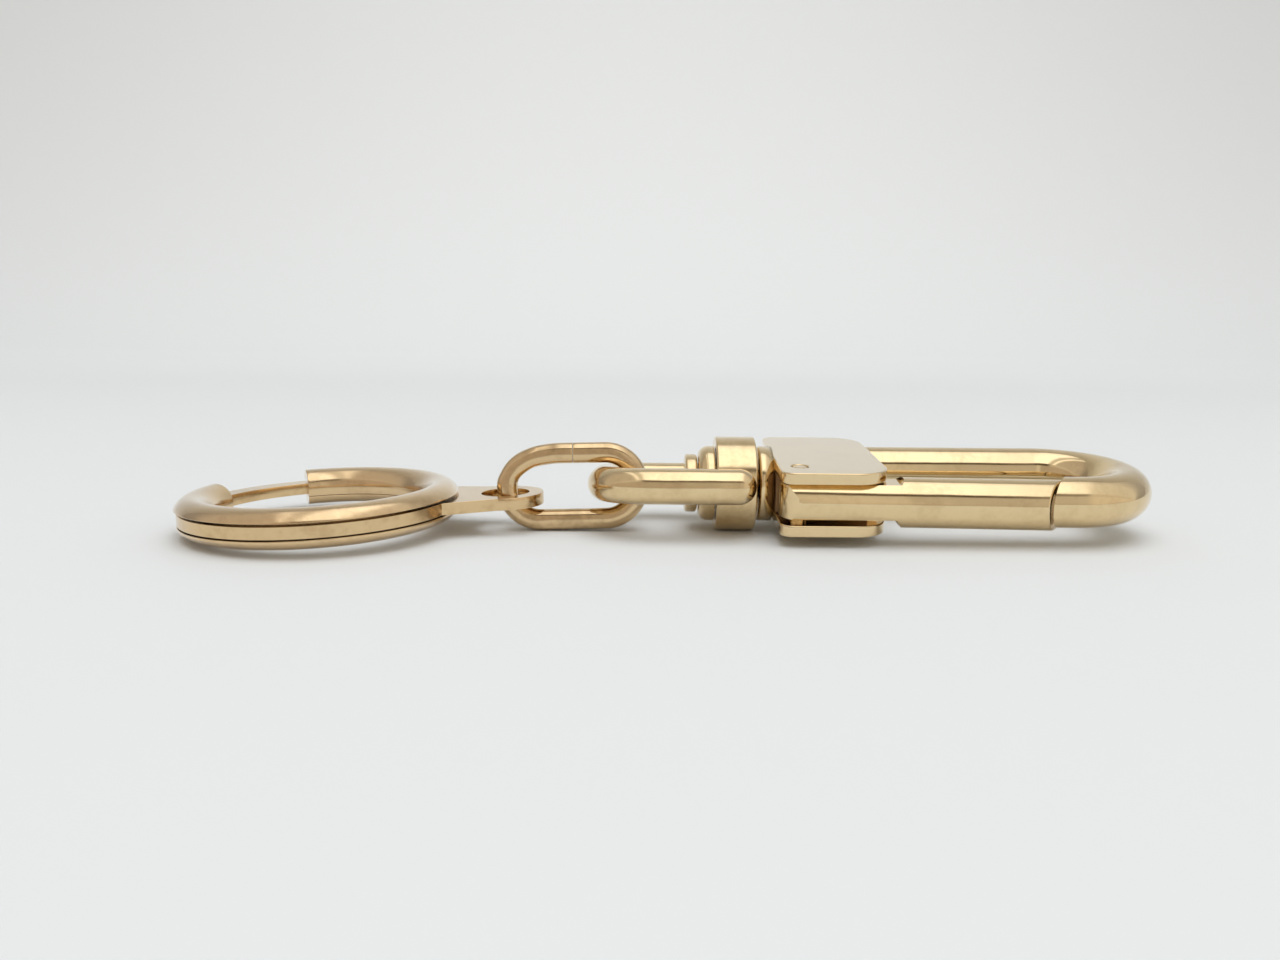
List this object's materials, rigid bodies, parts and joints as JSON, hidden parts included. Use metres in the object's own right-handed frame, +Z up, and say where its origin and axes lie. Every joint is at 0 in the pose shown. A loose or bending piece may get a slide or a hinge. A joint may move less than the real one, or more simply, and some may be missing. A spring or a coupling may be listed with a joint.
{
  "type": "key ring",
  "caption": "Gold key ring: flat lug ring in a turning sleeve, oval chain link, swivel bail and a sprung snap clasp with a cheek-plated body.",
  "frame": {"origin": "middle of the whole object's base, in its rest pose on a table", "axes": "+X along the object from the ring to the clasp's nose, +Z up, the clasp's opening to -Y"},
  "size_m": [0.1022, 0.0288, 0.01],
  "materials": {
    "ring_sleeve_gold": "polished",
    "ring_plate_gold": "polished",
    "link_gold": "polished",
    "bail_gold": "polished",
    "swivel_gold": "polished",
    "cheek_gold": "mirror polished",
    "bar_gold": "polished",
    "spring_steel": "drawn"
  },
  "bodies": {
    "clasp": {"clasp_core": "bar_gold", "upper_plate": "cheek_gold", "lower_plate": "cheek_gold", "hook": "bar_gold", "swivel_post": "swivel_gold", "swivel_washer": "swivel_gold", "gate_pivot_pin": "bar_gold", "gate_spring": "spring_steel"},
    "gate": {"gate": "bar_gold"},
    "swivel": {"swivel_collar": "swivel_gold", "bail": "bail_gold"},
    "link": {"oval_link": "link_gold"},
    "ring": {"ring_plate": "ring_plate_gold"},
    "sleeve": {"ring_sleeve_upper": "ring_sleeve_gold", "ring_sleeve_lower": "ring_sleeve_gold"}
  },
  "joints": [
    {"name": "gate_hinge", "type": "hinge", "parent": "clasp", "child": "gate", "pos_m": [0.01312, -0.00406, 0.00462], "axis": [0, -0.061, 0.9981], "range_deg": [0, 20], "stiffness_Nm_per_rad": 0.016, "springref_deg": -14.32, "deforming": ["gate_spring"]},
    {"name": "swivel_turn", "type": "hinge", "parent": "clasp", "child": "swivel", "pos_m": [0.00912, 0.00223, 0.005], "axis": [1, 0, 0], "continuous": true},
    {"name": "link_swing", "type": "hinge", "parent": "swivel", "child": "link", "pos_m": [-0.00673, 0.00133, 0.00509], "axis": [0, 0.9949, -0.1011], "range_deg": [-90, 90]},
    {"name": "ring_swing", "type": "hinge", "parent": "link", "child": "ring", "pos_m": [-0.01691, 0.00115, 0.00334], "axis": [-0.0366, 0, 0.9993], "range_deg": [-60, 60]},
    {"name": "sleeve_turn", "type": "hinge", "parent": "ring", "child": "sleeve", "pos_m": [-0.03669, 0, 0.00276], "axis": [-0.0366, 0, 0.9993], "continuous": true}
  ]
}
